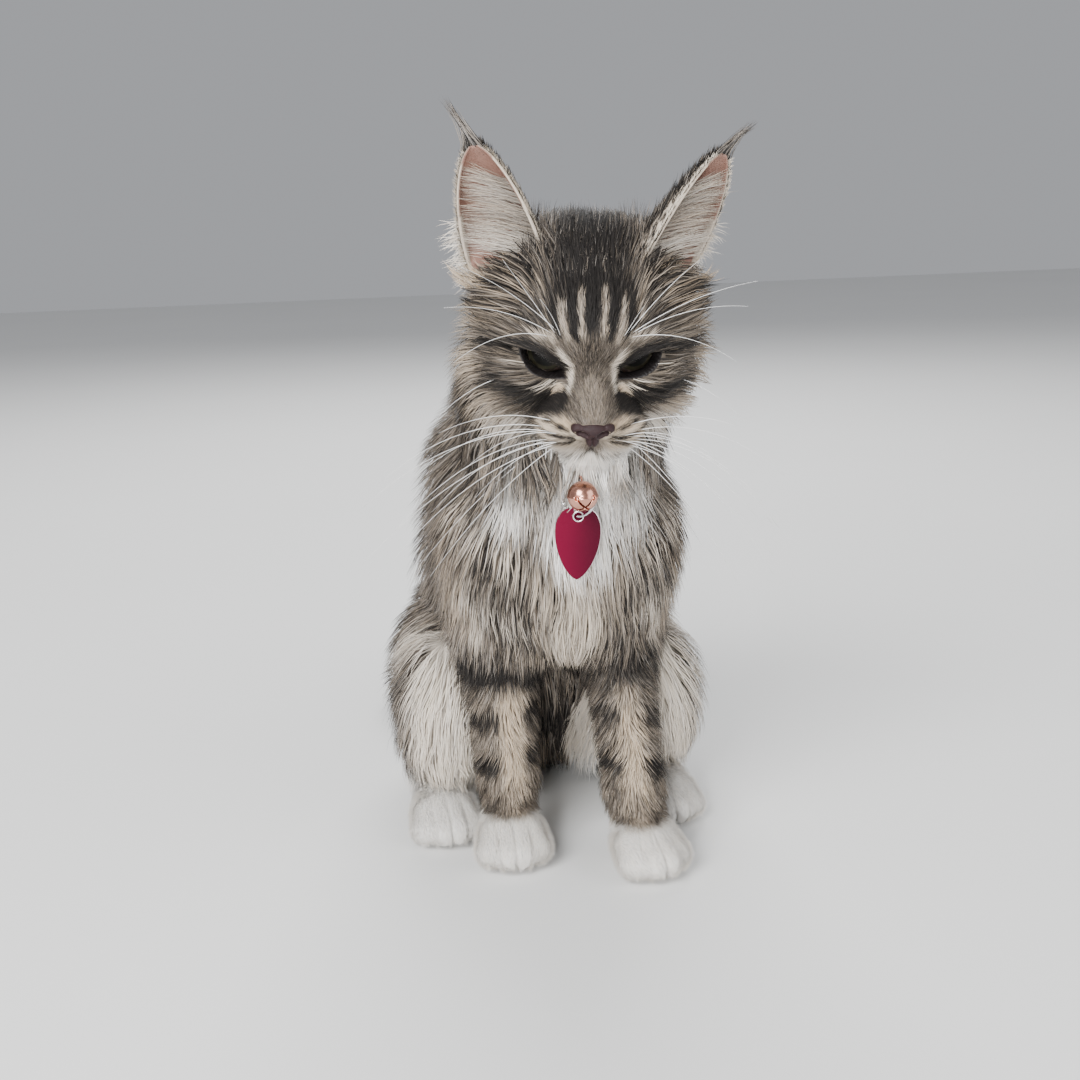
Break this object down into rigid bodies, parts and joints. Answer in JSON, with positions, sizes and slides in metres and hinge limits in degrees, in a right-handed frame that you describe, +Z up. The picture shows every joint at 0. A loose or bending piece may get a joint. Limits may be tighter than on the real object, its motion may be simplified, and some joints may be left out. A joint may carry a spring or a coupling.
{
  "type": "sitting cat figure",
  "caption": "Life-size sitting long-haired tabby cat with white paws, tufted ears, a lowered head, a curled tail, and a bell and tag at the neck.",
  "frame": {"origin": "on the floor, below the middle of the whole animal's bounding box", "axes": "-Y is the way the cat's body faces, +X is its left side and +Z is up"},
  "size_m": [0.1802, 0.3978, 0.3788],
  "materials": {
    "coat_grey": "long tabby hair, brown-grey with dark bands",
    "coat_white": "white and cream hair",
    "ear_skin": "thin skin with sparse hair",
    "eye": "wet, clear, dark olive",
    "nose_leather": "damp nose skin",
    "strap": "woven strap",
    "steel": "polished wire",
    "rose_metal": "polished rose-coloured metal",
    "crimson": "dyed crimson with a bare bevelled edge"
  },
  "bodies": {
    "root": {"head": "coat_grey", "ear_left": "ear_skin", "ear_right": "ear_skin", "eye_left": "eye", "eye_right": "eye", "nose": "nose_leather", "neck": "coat_grey", "chest": "coat_grey", "hindquarters": "coat_grey", "foreleg_left": "coat_grey", "foreleg_right": "coat_grey", "forepaw_left": "coat_white", "forepaw_right": "coat_white", "thigh_left": "coat_white", "thigh_right": "coat_white", "hind_foot_left": "coat_white", "hind_foot_right": "coat_white", "tail_root": "coat_grey", "tail_middle": "coat_grey", "tail_tip": "coat_grey", "collar": "strap", "split_ring": "steel", "bell": "rose_metal", "tag": "crimson"}
  },
  "joints": []
}
